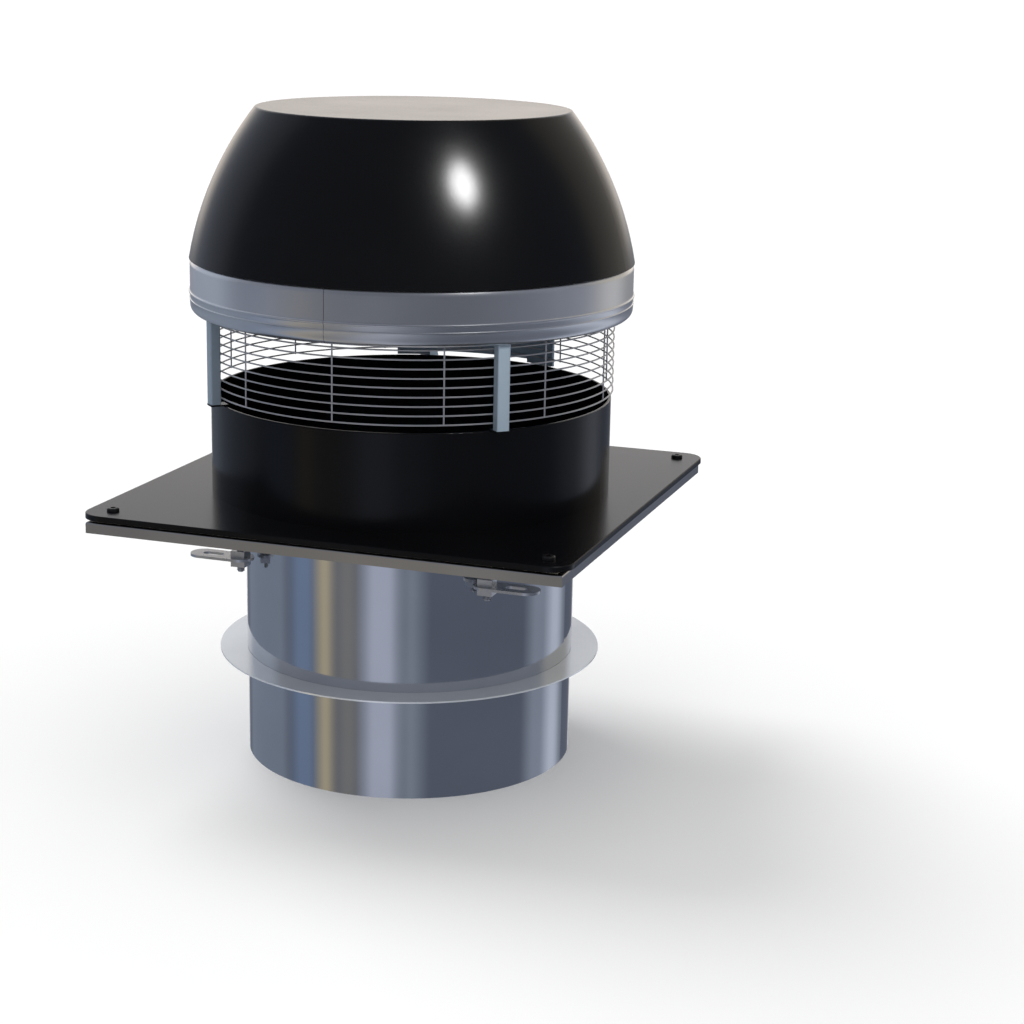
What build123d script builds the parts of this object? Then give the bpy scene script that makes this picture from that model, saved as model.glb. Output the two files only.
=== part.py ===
from build123d import *
from math import cos, radians, sin, sqrt
import os

# Chimney draught fan on its flue adapter.
# Millimetres, Z up, the fan's axis on Z, the spigot's lower edge on Z = 0.
# X and Y run along the edges of the square plates; the hinge is at the rear, on +Y.

# Fits between mating pieces
slip_gap = 0.1
seat_gap = 0.2
running_gap = 0.05

# Flue adapter: a folded square plate with a round spigot hanging from it
flue_diameter = 250.0
spigot_wall = 1.0
spigot_height = 201.5
neck_depth = 50.0
neck_wall = 1.0
neck_rivet_count = 4
neck_rivet_angle = 45.0
neck_rivet_diameter = 4.0
neck_rivet_depth = 32.0
neck_rivet_head_diameter = 7.0
neck_rivet_head_height = 1.0
adapter_step = 4.5
adapter_sheet = 1.5
adapter_flange = 8.5
adapter_fold_radius = 2.0
collar_width = 20.5
collar_sheet = 1.2
collar_depth = 119.7
swage_depth = 0.8
swage_rise = 3.0

# Clamp arms under the adapter plate
stud_diameter = 6.0
stud_length = 48.0
stud_offset = 12.0
stud_head_diameter = 11.0
stud_head_height = 1.5
arm_depth = 38.0
arm_sheet = 2.0
arm_width = 20.0
arm_reach = 30.0
arm_slot_width = 7.0
arm_slot_length = 16.0
clamp_nut_side = 11.0
clamp_nut_height = 5.0

# Base plate of the fan and its seal
seal_thickness = 2.0
seal_margin = 6.0
base_side = 367.0
base_thickness = 4.0
base_corner_radius = 17.0
base_edge_chamfer = 0.6
inlet_diameter = 240.0
bolt_diameter = 6.0
bolt_inset = 14.5
bolt_head_diameter = 9.0
bolt_head_height = 2.4
bolt_socket_flats = 3.5
nut_across_flats = 10.0
nut_height = 5.0

# Round housing that stands on the base plate
tube_diameter = 300.0
tube_wall = 2.0
tube_height = 71.2

# Hood: dome, band and motor plate
plate_level = 165.0
plate_sheet = 1.5
plate_rim_depth = 15.0
dome_base_diameter = 329.4
dome_wall = 1.2
dome_top_diameter = 231.4
dome_height = 281.9
dome_bulge = 7.3
dome_edge_radius = 2.0
band_reveal = 0.5
band_sheet = 1.5
band_edge_radius = 1.2
band_top_level = 172.1
band_low_level = 133.2
band_turn_radius = 9.2
band_bead_level = 148.0
band_bead_radius = 3.4
band_bead_height = 1.0
band_seam_width = 0.6
band_seam_depth = 0.7
hood_rivet_count = 8
hood_rivet_diameter = 4.0
hood_rivet_head_diameter = 7.0
hood_rivet_head_height = 1.0

# Struts, their lugs and the wire grille
wire_diameter = 1.2
grille_diameter = 302.0
grille_weld_depth = 0.3
grille_upright_count = 12
grille_ring_pitch = 6.55
grille_low_level = 77.1
grille_ring_count = 11
strut_width = 9.5
strut_edge_radius = 1.2
strut_angle = 45.0
lug_sheet = 1.2
lug_leg = 14.0
strut_screw_diameter = 4.0
strut_screw_length = 12.0
strut_screw_head_diameter = 7.6
strut_screw_head_height = 2.6

# Rear hinge
hinge_plate_sheet = 2.0
hinge_plate_angle = 26.0
hinge_leg_angle = 10.0
hinge_web_gap = 3.0
hinge_flange_reach = 12.0
hinge_axis_offset = 164.0
hinge_axis_level = 62.0
hinge_pin_diameter = 6.0
hinge_eye_radius = 8.0
hinge_ear_sheet = 4.0
hinge_ear_spacing = 92.0
hinge_ear_gap = 2.0
hinge_ear_root_low = 82.0
hinge_ear_root_high = 104.0
bracket_sheet = 3.0
bracket_low = 40.0
bracket_high = 66.0
pin_head_diameter = 10.0
pin_head_height = 2.5
clip_sheet = 0.8
clip_diameter = 10.0
clip_groove_depth = 0.6

# Motor above the motor plate
spacer_height = 10.0
spacer_diameter = 12.0
motor_bolt_pitch_diameter = 126.0
motor_bolt_angle = 45.0
motor_bolt_diameter = 5.0
motor_bolt_head_height = 2.8
motor_bolt_head_diameter = 9.0
motor_nut_flats = 8.0
motor_nut_height = 4.0
motor_flange_diameter = 144.0
motor_flange_sheet = 5.0
motor_diameter = 112.0
motor_wall = 5.0
motor_length = 75.0
motor_fin_count = 24
motor_fin_height = 4.0
motor_fin_width = 2.0
motor_cover_thickness = 5.0
cover_screw_diameter = 3.0
cover_screw_head_diameter = 4.8
cover_screw_head_height = 2.0
cover_screw_bite = 8.0
bearing_diameter = 32.0
bearing_width = 10.0
bearing_ring = 4.0
bearing_recess = 0.5
bearing_boss_wall = 4.0
stator_height = 40.0
stator_bore = 58.0
stator_slot_count = 12
stator_slot_width = 5.0
stator_slot_depth = 8.0
rotor_air_gap = 0.5
seal_ring_diameter = 28.0
seal_ring_width = 4.0

# Terminal box beside the motor
terminal_length = 62.0
terminal_width = 42.0
terminal_height = 28.0
terminal_wall = 2.5
terminal_corner_radius = 5.0
terminal_lid_thickness = 2.5
terminal_offset = 105.0
gland_diameter = 16.0
gland_bore = 8.0
gland_wall = 1.0
gland_length = 12.0

# Rotor
shaft_diameter = 12.0
shaft_top_gap = 1.0
impeller_diameter = 224.0
impeller_plate_thickness = 2.0
impeller_plate_gap = 7.0
blade_count = 8
blade_height = 30.0
blade_thickness = 2.0
blade_inner_radius = 42.0
blade_sweep_angle = 35.0
blade_bow = 9.0
hub_diameter = 40.0
hub_height = 24.0
washer_diameter = 18.0
washer_thickness = 1.5
hub_bolt_diameter = 6.0
hub_bolt_length = 14.0
hub_bolt_head_height = 4.0
hub_bolt_flats = 10.0

# Levels worked out from the sizes above
adapter_top = spigot_height
base_bottom = adapter_top + seal_thickness
base_top = base_bottom + base_thickness
rim_level = base_top + tube_height
plate_under = base_top + plate_level
plate_top = plate_under + plate_sheet
skirt_low = plate_under - plate_rim_depth
band_top = base_top + band_top_level
band_low = base_top + band_low_level
dome_spring = band_top + seat_gap
dome_top = base_top + dome_height
hinge_level = base_top + hinge_axis_level
lug_top = rim_level + lug_sheet
motor_bottom = plate_top + spacer_height
motor_top = motor_bottom + motor_length
impeller_plate_top = plate_under - impeller_plate_gap
impeller_plate_under = impeller_plate_top - impeller_plate_thickness
blade_low = impeller_plate_under - blade_height
hub_low = impeller_plate_top - hub_height

# Radii and sides worked out from the sizes above
flue_radius = flue_diameter / 2
collar_radius = flue_radius + collar_width
stud_circle_radius = flue_radius + stud_offset
adapter_side = base_side - 2 * adapter_step
spigot_inner = flue_radius - spigot_wall
neck_outer = spigot_inner - slip_gap
neck_inner = neck_outer - neck_wall
tube_radius = tube_diameter / 2
tube_inner = tube_radius - tube_wall
dome_base_radius = dome_base_diameter / 2
band_outer = dome_base_radius - band_reveal
band_inner = band_outer - band_sheet
skirt_outer = band_inner - seat_gap
skirt_inner = skirt_outer - dome_wall
plate_rim_radius = skirt_inner - slip_gap
plate_rim_inner = plate_rim_radius - plate_sheet
band_lip_radius = band_outer - band_turn_radius
grille_outer = (grille_diameter + wire_diameter) / 2
strut_inner = grille_outer + slip_gap
strut_outer = sqrt((plate_rim_inner - seat_gap) ** 2 - (strut_width / 2) ** 2)
strut_depth = strut_outer - strut_inner
strut_middle = (strut_inner + strut_outer) / 2
hinge_plate_outer = strut_inner + hinge_plate_sheet
motor_radius = motor_diameter / 2
motor_body_radius = motor_radius - motor_fin_height
motor_inner = motor_body_radius - motor_wall
shaft_radius = shaft_diameter / 2
bearing_radius = bearing_diameter / 2
bearing_seat = bearing_radius + slip_gap
boss_radius = bearing_seat + bearing_boss_wall

# Where the two front struts stand, as angles about the axis
strut_places = {"strut_left": strut_angle - 180, "strut_right": -strut_angle}

os.makedirs("parts", exist_ok=True)


def around(radius, angle):
    """The X and Y of a point on a circle about the fan's axis."""
    return (radius * cos(radians(angle)), radius * sin(radians(angle)))


def upright_plane(radius, angle, level):
    """A level plane at a point of a circle, its X pointing away from the axis."""
    place = (*around(radius, angle), level)
    return Plane(origin=place, x_dir=(*around(1, angle), 0), z_dir=(0, 0, 1))


def radial_plane(radius, angle, level):
    """A plane square to the radius, its Z pointing away from the axis."""
    place = (*around(radius, angle), level)
    return Plane(origin=place, x_dir=(0, 0, 1), z_dir=(*around(1, angle), 0))


def save(piece, label):
    """Name a finished piece and write its file."""
    piece.part.label = label
    export_step(piece.part, f"parts/{label}.step")


# Adapter plate: one sheet with its four edges folded down
bolt_place = adapter_side / 2 - bolt_inset
stud_place = stud_circle_radius / sqrt(2)

with BuildPart() as adapter_plate:
    with BuildSketch(Plane.XY.offset(adapter_top)):
        Rectangle(adapter_side, adapter_side)
    extrude(amount=-adapter_flange)
    top_face = adapter_plate.faces().sort_by(Axis.Z)[-1]
    fillet(top_face.edges(), adapter_fold_radius)
    offset(amount=-adapter_sheet, openings=adapter_plate.faces().sort_by(Axis.Z)[0])
    with BuildSketch(Plane.XY.offset(adapter_top)):
        Circle(flue_radius + slip_gap)
        with GridLocations(2 * bolt_place, 2 * bolt_place, 2, 2):
            Circle(bolt_diameter / 2 + slip_gap)
    extrude(amount=-adapter_flange, mode=Mode.SUBTRACT)
save(adapter_plate, "adapter_plate")

# Spigot, its lower end drawn in to enter the flue, and the short neck inside it, joined by rivets
rivet_level = adapter_top - neck_rivet_depth
swage_top = adapter_top - collar_depth - collar_sheet - seat_gap
swage_foot = swage_top - swage_rise

with BuildPart() as flue_spigot:
    with BuildSketch(Plane.XZ):
        with BuildLine():
            Polyline((spigot_inner - swage_depth, 0), (spigot_inner - swage_depth, swage_foot),
                     (spigot_inner, swage_top), (spigot_inner, adapter_top), (flue_radius, adapter_top),
                     (flue_radius, swage_top), (flue_radius - swage_depth, swage_foot),
                     (flue_radius - swage_depth, 0), close=True)
        make_face()
    revolve(axis=Axis.Z)
    with Locations((0, 0, rivet_level)):
        with PolarLocations(0, neck_rivet_count, start_angle=neck_rivet_angle):
            Cylinder(neck_rivet_diameter / 2 + slip_gap, flue_radius + neck_wall, rotation=(0, 90, 0),
                     align=(Align.CENTER, Align.CENTER, Align.MIN), mode=Mode.SUBTRACT)
save(flue_spigot, "flue_spigot")

with BuildPart() as plate_neck:
    with BuildSketch(Plane.XY.offset(adapter_top)):
        Circle(neck_outer)
        Circle(neck_inner, mode=Mode.SUBTRACT)
    extrude(amount=-neck_depth)
    with Locations((0, 0, rivet_level)):
        with PolarLocations(0, neck_rivet_count, start_angle=neck_rivet_angle):
            Cylinder(neck_rivet_diameter / 2 + slip_gap, flue_radius + neck_wall, rotation=(0, 90, 0),
                     align=(Align.CENTER, Align.CENTER, Align.MIN), mode=Mode.SUBTRACT)
save(plate_neck, "plate_neck")

rivet_grip = flue_radius - neck_inner + 2 * seat_gap

with BuildPart() as neck_rivets:
    for number in range(neck_rivet_count):
        angle = neck_rivet_angle + number * 360 / neck_rivet_count
        rivet_plane = radial_plane(neck_inner - seat_gap, angle, rivet_level)
        with BuildSketch(rivet_plane):
            Circle(neck_rivet_diameter / 2)
        extrude(amount=rivet_grip)
        for head_plane, reach in ((rivet_plane, -neck_rivet_head_height),
                                  (rivet_plane.offset(rivet_grip), neck_rivet_head_height)):
            with BuildSketch(head_plane):
                Circle(neck_rivet_head_diameter / 2)
            extrude(amount=reach)
save(neck_rivets, "neck_rivets")

# Collar disc that covers the joint with the flue
with BuildPart() as collar_disc:
    with BuildSketch(Plane.XY.offset(adapter_top - collar_depth)):
        Circle(collar_radius)
        Circle(flue_radius + slip_gap, mode=Mode.SUBTRACT)
    extrude(amount=-collar_sheet)
save(collar_disc, "collar_disc")

# Clamp studs, slotted arms and square nuts below the adapter plate
arm_top = adapter_top - arm_depth

with BuildPart() as clamp_studs:
    with BuildSketch(Plane.XY.offset(adapter_top - adapter_sheet)):
        with GridLocations(2 * stud_place, 2 * stud_place, 2, 2):
            Circle(stud_head_diameter / 2)
    extrude(amount=-stud_head_height)
    with BuildSketch(Plane.XY.offset(adapter_top - adapter_sheet)):
        with GridLocations(2 * stud_place, 2 * stud_place, 2, 2):
            Circle(stud_diameter / 2)
    extrude(amount=-stud_length)
    chamfer(clamp_studs.faces().group_by(Axis.Z)[0].edges(), stud_diameter / 8)
save(clamp_studs, "clamp_studs")

with BuildPart() as clamp_arms:
    with BuildSketch(Plane.XY.offset(arm_top)):
        for side in (-1, 1):
            with Locations((side * (stud_place + arm_reach / 2), stud_place),
                           (side * (stud_place + arm_reach / 2), -stud_place)):
                SlotCenterToCenter(arm_reach, arm_width)
        with GridLocations(2 * stud_place, 2 * stud_place, 2, 2):
            Circle(stud_diameter / 2 + slip_gap, mode=Mode.SUBTRACT)
        slot_place = 2 * (stud_place + arm_reach - arm_slot_length / 2)
        with GridLocations(slot_place, 2 * stud_place, 2, 2):
            SlotOverall(arm_slot_length, arm_slot_width, mode=Mode.SUBTRACT)
    extrude(amount=-arm_sheet)
save(clamp_arms, "clamp_arms")

with BuildPart() as clamp_nuts:
    for nut_low in (arm_top, arm_top - arm_sheet - clamp_nut_height):
        with BuildSketch(Plane.XY.offset(nut_low)):
            with GridLocations(2 * stud_place, 2 * stud_place, 2, 2):
                Rectangle(clamp_nut_side, clamp_nut_side)
            with GridLocations(2 * stud_place, 2 * stud_place, 2, 2):
                Circle(stud_diameter / 2 + slip_gap, mode=Mode.SUBTRACT)
        extrude(amount=clamp_nut_height)
save(clamp_nuts, "clamp_nuts")

# Fibre seal between the two plates
with BuildPart() as plate_seal:
    with BuildSketch(Plane.XY.offset(adapter_top)):
        Rectangle(adapter_side - 2 * seal_margin, adapter_side - 2 * seal_margin)
        Circle(flue_radius + seal_margin, mode=Mode.SUBTRACT)
        with GridLocations(2 * bolt_place, 2 * bolt_place, 2, 2):
            Circle(bolt_diameter / 2 + slip_gap, mode=Mode.SUBTRACT)
    extrude(amount=seal_thickness)
save(plate_seal, "plate_seal")

# Base plate with rounded corners and a round inlet
with BuildPart() as base_plate:
    with BuildSketch(Plane.XY.offset(base_bottom)):
        RectangleRounded(base_side, base_side, base_corner_radius)
    extrude(amount=base_thickness)
    chamfer(base_plate.faces().sort_by(Axis.Z)[-1].edges(), base_edge_chamfer)
    with BuildSketch(Plane.XY.offset(base_bottom)):
        Circle(inlet_diameter / 2)
        with GridLocations(2 * bolt_place, 2 * bolt_place, 2, 2):
            Circle(bolt_diameter / 2 + slip_gap)
    extrude(amount=base_thickness, mode=Mode.SUBTRACT)
save(base_plate, "base_plate")

# Corner bolts through both plates, with their nuts below
bolt_grip = base_top - adapter_top + adapter_sheet

with BuildPart() as base_bolts:
    with BuildSketch(Plane.XY.offset(base_top)):
        with GridLocations(2 * bolt_place, 2 * bolt_place, 2, 2):
            Circle(bolt_head_diameter / 2)
    extrude(amount=bolt_head_height)
    fillet(base_bolts.faces().group_by(Axis.Z)[-1].edges(), bolt_head_height / 2)
    with BuildSketch(Plane.XY.offset(base_top + bolt_head_height)):
        with GridLocations(2 * bolt_place, 2 * bolt_place, 2, 2):
            RegularPolygon(bolt_socket_flats / 2, 6, major_radius=False)
    extrude(amount=-bolt_head_height / 2, mode=Mode.SUBTRACT)
    with BuildSketch(Plane.XY.offset(base_top)):
        with GridLocations(2 * bolt_place, 2 * bolt_place, 2, 2):
            Circle(bolt_diameter / 2)
    extrude(amount=-bolt_grip - nut_height)
save(base_bolts, "base_bolts")

with BuildPart() as base_nuts:
    with BuildSketch(Plane.XY.offset(adapter_top - adapter_sheet)):
        with GridLocations(2 * bolt_place, 2 * bolt_place, 2, 2):
            RegularPolygon(nut_across_flats / 2, 6, major_radius=False)
        with GridLocations(2 * bolt_place, 2 * bolt_place, 2, 2):
            Circle(bolt_diameter / 2 + slip_gap, mode=Mode.SUBTRACT)
    extrude(amount=-nut_height)
save(base_nuts, "base_nuts")

# Round housing
with BuildPart() as housing_tube:
    with BuildSketch(Plane.XY.offset(base_top)):
        Circle(tube_radius)
        Circle(tube_inner, mode=Mode.SUBTRACT)
    extrude(amount=tube_height)
    fillet(housing_tube.faces().sort_by(Axis.Z)[-1].edges(), tube_wall / 4)
save(housing_tube, "housing_tube")

# Angle lugs inside the housing; each has a leaf over the rim that a front strut stands on
lug_face = sqrt((tube_inner - slip_gap) ** 2 - (strut_width / 2) ** 2)
lug_inner = lug_face - lug_sheet
lug_low = rim_level - lug_leg

with BuildPart() as strut_lugs:
    for angle in strut_places.values():
        middle = Plane(origin=(0, 0, 0), x_dir=(*around(1, angle), 0), z_dir=(*around(1, angle - 90), 0))
        with BuildSketch(middle):
            with BuildLine():
                Polyline((lug_inner, lug_top), (strut_outer, lug_top), (strut_outer, rim_level),
                         (lug_face, rim_level), (lug_face, lug_low), (lug_inner, lug_low), close=True)
            make_face()
        extrude(amount=strut_width / 2, both=True)
save(strut_lugs, "strut_lugs")

# Hinge bracket on the housing: a curved pad with two ears
moving_ear = hinge_ear_spacing / 2
fixed_ear = moving_ear + hinge_ear_sheet + hinge_ear_gap
pad_inner = tube_radius + slip_gap
pad_outer = pad_inner + bracket_sheet
pad_edge = fixed_ear + hinge_ear_sheet
pad_back = sqrt(pad_inner ** 2 - pad_edge ** 2)

with BuildPart() as hinge_bracket:
    with BuildSketch(Plane.XY.offset(base_top + bracket_low)):
        Circle(pad_outer)
        Circle(pad_inner, mode=Mode.SUBTRACT)
        with Locations((0, pad_outer)):
            Rectangle(2 * pad_edge, 2 * (pad_outer - pad_back), mode=Mode.INTERSECT)
    extrude(amount=bracket_high - bracket_low)
    for side in (-1, 1):
        with BuildSketch(Plane.YZ.offset(side * fixed_ear)):
            with Locations((hinge_axis_offset, hinge_level)):
                Circle(hinge_eye_radius)
            with Locations((pad_back, base_top + bracket_low)):
                Rectangle(bracket_sheet, bracket_high - bracket_low, align=(Align.MIN, Align.MIN))
            make_hull()
            with Locations((hinge_axis_offset, hinge_level)):
                Circle(hinge_pin_diameter / 2 + running_gap, mode=Mode.SUBTRACT)
        extrude(amount=hinge_ear_sheet / 2, both=True)
    with Locations((0, 0, base_top)):
        Cylinder(pad_inner, tube_height, align=(Align.CENTER, Align.CENTER, Align.MIN), mode=Mode.SUBTRACT)
save(hinge_bracket, "hinge_bracket")

# Hinge pin and the clip on its end
pin_reach = fixed_ear + hinge_ear_sheet / 2 + seat_gap
groove_radius = hinge_pin_diameter / 2 - clip_groove_depth
pin_head_plane = Plane(origin=(-pin_reach, hinge_axis_offset, hinge_level), x_dir=(0, 1, 0), z_dir=(1, 0, 0))
pin_length = 2 * pin_reach + clip_sheet + 2 * seat_gap + hinge_pin_diameter / 4

with BuildPart() as hinge_pin:
    with BuildSketch(pin_head_plane):
        Circle(pin_head_diameter / 2)
    extrude(amount=-pin_head_height)
    with BuildSketch(pin_head_plane):
        Circle(hinge_pin_diameter / 2)
    extrude(amount=pin_length)
    with BuildSketch(pin_head_plane.offset(2 * pin_reach)):
        Circle(hinge_pin_diameter)
        Circle(groove_radius, mode=Mode.SUBTRACT)
    extrude(amount=clip_sheet + seat_gap, mode=Mode.SUBTRACT)
save(hinge_pin, "hinge_pin")

with BuildPart() as hinge_clip:
    with BuildSketch(pin_head_plane.offset(2 * pin_reach + seat_gap / 2)):
        Circle(clip_diameter / 2)
        Circle(groove_radius + slip_gap, mode=Mode.SUBTRACT)
        with Locations((clip_diameter / 2, 0)):
            Rectangle(clip_diameter, groove_radius, mode=Mode.SUBTRACT)
    extrude(amount=clip_sheet)
save(hinge_clip, "hinge_clip")

# Hinge plate: a curved rear plate on two legs, with ears down to the pin
hinge_web_angle = hinge_plate_angle - hinge_leg_angle
hinge_flange_inner = strut_inner - hinge_flange_reach
ear_face = sqrt(hinge_plate_outer ** 2 - (moving_ear + hinge_ear_sheet / 2) ** 2)


def rear_sector(reach, spread):
    """Corners of a triangle from the axis that covers the rear of a ring."""
    return (0, 0), around(reach, 90 - spread), around(reach, 90 + spread)


with BuildPart() as hinge_plate:
    with BuildSketch(Plane.XY.offset(rim_level)):
        Circle(hinge_plate_outer)
        Circle(strut_inner, mode=Mode.SUBTRACT)
        Polygon(*rear_sector(tube_diameter, hinge_plate_angle), align=None, mode=Mode.INTERSECT)
    extrude(amount=plate_under - rim_level)
    with BuildSketch(Plane.XY.offset(plate_under)):
        Circle(hinge_plate_outer)
        Circle(hinge_flange_inner, mode=Mode.SUBTRACT)
        Polygon(*rear_sector(tube_diameter, hinge_plate_angle), align=None, mode=Mode.INTERSECT)
    extrude(amount=-hinge_plate_sheet)
    with BuildSketch(Plane.XY.offset(rim_level)):
        Polygon(*rear_sector(tube_diameter, hinge_web_angle), align=None)
    extrude(amount=hinge_web_gap, mode=Mode.SUBTRACT)
    for side in (-1, 1):
        with BuildSketch(Plane.YZ.offset(side * moving_ear)):
            with Locations((hinge_axis_offset, hinge_level)):
                Circle(hinge_eye_radius)
            with Locations((ear_face - hinge_plate_sheet / 2, base_top + hinge_ear_root_low)):
                Rectangle(hinge_plate_sheet, hinge_ear_root_high - hinge_ear_root_low,
                          align=(Align.MIN, Align.MIN))
            make_hull()
            with Locations((hinge_axis_offset, hinge_level)):
                Circle(hinge_pin_diameter / 2 + slip_gap, mode=Mode.SUBTRACT)
        extrude(amount=hinge_ear_sheet / 2, both=True)
    hinge_screw_places = [around((hinge_flange_inner + grille_outer - wire_diameter) / 2, 90 + turn)
                          for turn in (-hinge_leg_angle, hinge_leg_angle)]
    with BuildSketch(Plane.XY.offset(plate_under)):
        with Locations(*hinge_screw_places):
            Circle(strut_screw_diameter / 2 + slip_gap)
    extrude(amount=-hinge_plate_sheet, mode=Mode.SUBTRACT)
save(hinge_plate, "hinge_plate")

# Two front struts, from the motor plate down to their lugs
strut_low = lug_top + seat_gap

for label, angle in strut_places.items():
    with BuildPart() as strut:
        with BuildSketch(upright_plane(strut_middle, angle, strut_low)):
            RectangleRounded(strut_depth, strut_width, strut_edge_radius)
        extrude(amount=plate_under - strut_low)
        with BuildSketch(upright_plane(strut_middle, angle, plate_under)):
            Circle(strut_screw_diameter / 2 + slip_gap / 2)
        extrude(amount=-strut_screw_length, mode=Mode.SUBTRACT)
    save(strut, label)

# Screws through the motor plate into the struts and the hinge plate's flange
with BuildPart() as strut_screws:
    for angle in strut_places.values():
        with BuildSketch(upright_plane(strut_middle, angle, plate_top)):
            Circle(strut_screw_head_diameter / 2)
        extrude(amount=strut_screw_head_height)
        with BuildSketch(upright_plane(strut_middle, angle, plate_top)):
            Circle(strut_screw_diameter / 2)
        extrude(amount=-strut_screw_length)
save(strut_screws, "strut_screws")

with BuildPart() as hinge_screws:
    with BuildSketch(Plane.XY.offset(plate_top)):
        with Locations(*hinge_screw_places):
            Circle(strut_screw_head_diameter / 2)
    extrude(amount=strut_screw_head_height)
    with BuildSketch(Plane.XY.offset(plate_top)):
        with Locations(*hinge_screw_places):
            Circle(strut_screw_diameter / 2)
    extrude(amount=-plate_sheet - hinge_plate_sheet)
save(hinge_screws, "hinge_screws")

# Wire grille: hoops on the outside, uprights welded to their inner side
grille_low = base_top + grille_low_level
grille_rise = (grille_ring_count - 1) * grille_ring_pitch
wire_radius = wire_diameter / 2
upright_radius = grille_diameter / 2 - wire_diameter + grille_weld_depth
hoop_place = grille_diameter / 2

with BuildPart() as wire_grille:
    with BuildSketch(Plane.XZ):
        for number in range(grille_ring_count):
            with Locations((hoop_place, grille_low + number * grille_ring_pitch)):
                RegularPolygon(wire_radius, 6)
    revolve(axis=Axis.Z)
    with BuildSketch(Plane.XY.offset(grille_low - wire_radius)):
        with PolarLocations(upright_radius, grille_upright_count):
            RegularPolygon(wire_radius, 6)
    extrude(amount=grille_rise + wire_diameter)
save(wire_grille, "wire_grille")

# Silver band: a rolled strip with a bead, closed at a seam; its turned-in edge is notched for the struts
bead_low = base_top + band_bead_level - band_bead_radius
bead_high = base_top + band_bead_level + band_bead_radius
turn_level = band_low + band_turn_radius

with BuildPart() as ring_band:
    with BuildSketch(Plane.XZ):
        with BuildLine():
            Line((band_outer, band_top), (band_outer, bead_high))
            ThreePointArc((band_outer, bead_high), (band_outer + band_bead_height, (bead_low + bead_high) / 2),
                          (band_outer, bead_low))
            Line((band_outer, bead_low), (band_outer, turn_level))
            CenterArc((band_lip_radius, turn_level), band_turn_radius, 0, -90)
            Line((band_lip_radius, band_low), (band_lip_radius, band_low + band_sheet))
            CenterArc((band_lip_radius, turn_level), band_turn_radius - band_sheet, -90, 90)
            Line((band_inner, turn_level), (band_inner, band_top))
            Line((band_inner, band_top), (band_outer, band_top))
        make_face()
    revolve(axis=Axis.Z)
    top_edges = ring_band.edges().group_by(Axis.Z)[-1]
    fillet(top_edges.sort_by(SortBy.RADIUS)[-1], band_edge_radius)
    with BuildSketch(Plane.XY.offset(band_low)):
        with Locations((0, -band_outer - band_bead_height)):
            Rectangle(band_seam_width, 2 * (band_seam_depth + band_bead_height))
    extrude(amount=band_top - band_low, mode=Mode.SUBTRACT)
    for angle in strut_places.values():
        with BuildSketch(upright_plane(strut_middle, angle, band_low)):
            Rectangle(strut_depth + 2 * seat_gap, strut_width + 2 * seat_gap)
        extrude(amount=band_turn_radius, mode=Mode.SUBTRACT)
save(ring_band, "ring_band")

# Spun dome with a flat top; it steps over the band to a straight skirt behind it
rivet_height = plate_under - plate_rim_depth / 2
first_rivet = 180 / hood_rivet_count

with BuildPart() as hood_dome:
    with BuildSketch(Plane.XZ):
        with BuildLine():
            Line((0, skirt_low), (skirt_outer, skirt_low))
            Line((skirt_outer, skirt_low), (skirt_outer, dome_spring))
            Line((skirt_outer, dome_spring), (dome_base_radius, dome_spring))
            SagittaArc((dome_base_radius, dome_spring), (dome_top_diameter / 2, dome_top), -dome_bulge)
            Line((dome_top_diameter / 2, dome_top), (0, dome_top))
            Line((0, dome_top), (0, skirt_low))
        make_face()
    revolve(axis=Axis.Z)
    fillet(hood_dome.faces().sort_by(Axis.Z)[-1].edges(), dome_edge_radius)
    offset(amount=-dome_wall, openings=hood_dome.faces().sort_by(Axis.Z)[0])
    with Locations((0, 0, rivet_height)):
        with PolarLocations(0, hood_rivet_count, start_angle=first_rivet):
            Cylinder(hood_rivet_diameter / 2 + slip_gap, dome_base_radius + dome_wall, rotation=(0, 90, 0),
                     align=(Align.CENTER, Align.CENTER, Align.MIN), mode=Mode.SUBTRACT)
save(hood_dome, "hood_dome")

# Motor plate: a disc with its rim turned down inside the skirt
with BuildPart() as motor_plate:
    with BuildSketch(Plane.XY.offset(plate_top)):
        Circle(plate_rim_radius)
    extrude(amount=-plate_sheet - plate_rim_depth)
    with BuildSketch(Plane.XY.offset(plate_under)):
        Circle(plate_rim_inner)
    extrude(amount=-plate_rim_depth, mode=Mode.SUBTRACT)
    with BuildSketch(Plane.XY.offset(plate_top)):
        Circle(seal_ring_diameter / 2 + slip_gap)
        with PolarLocations(motor_bolt_pitch_diameter / 2, 4, start_angle=motor_bolt_angle):
            Circle(motor_bolt_diameter / 2 + slip_gap)
        with Locations(*hinge_screw_places, *[around(strut_middle, angle) for angle in strut_places.values()]):
            Circle(strut_screw_diameter / 2 + slip_gap)
    extrude(amount=-plate_sheet, mode=Mode.SUBTRACT)
    with Locations((0, 0, rivet_height)):
        with PolarLocations(0, hood_rivet_count, start_angle=first_rivet):
            Cylinder(hood_rivet_diameter / 2 + slip_gap, dome_base_radius + dome_wall, rotation=(0, 90, 0),
                     align=(Align.CENTER, Align.CENTER, Align.MIN), mode=Mode.SUBTRACT)
save(motor_plate, "motor_plate")

# Flush rivets that join skirt and motor plate behind the band
with BuildPart() as hood_rivets:
    for number in range(hood_rivet_count):
        angle = first_rivet + number * 360 / hood_rivet_count
        rivet_plane = radial_plane(plate_rim_inner - seat_gap, angle, rivet_height)
        with BuildSketch(rivet_plane):
            Circle(hood_rivet_diameter / 2)
        extrude(amount=skirt_outer - plate_rim_inner + seat_gap)
        with BuildSketch(rivet_plane):
            Circle(hood_rivet_head_diameter / 2)
        extrude(amount=-hood_rivet_head_height)
save(hood_rivets, "hood_rivets")

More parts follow.
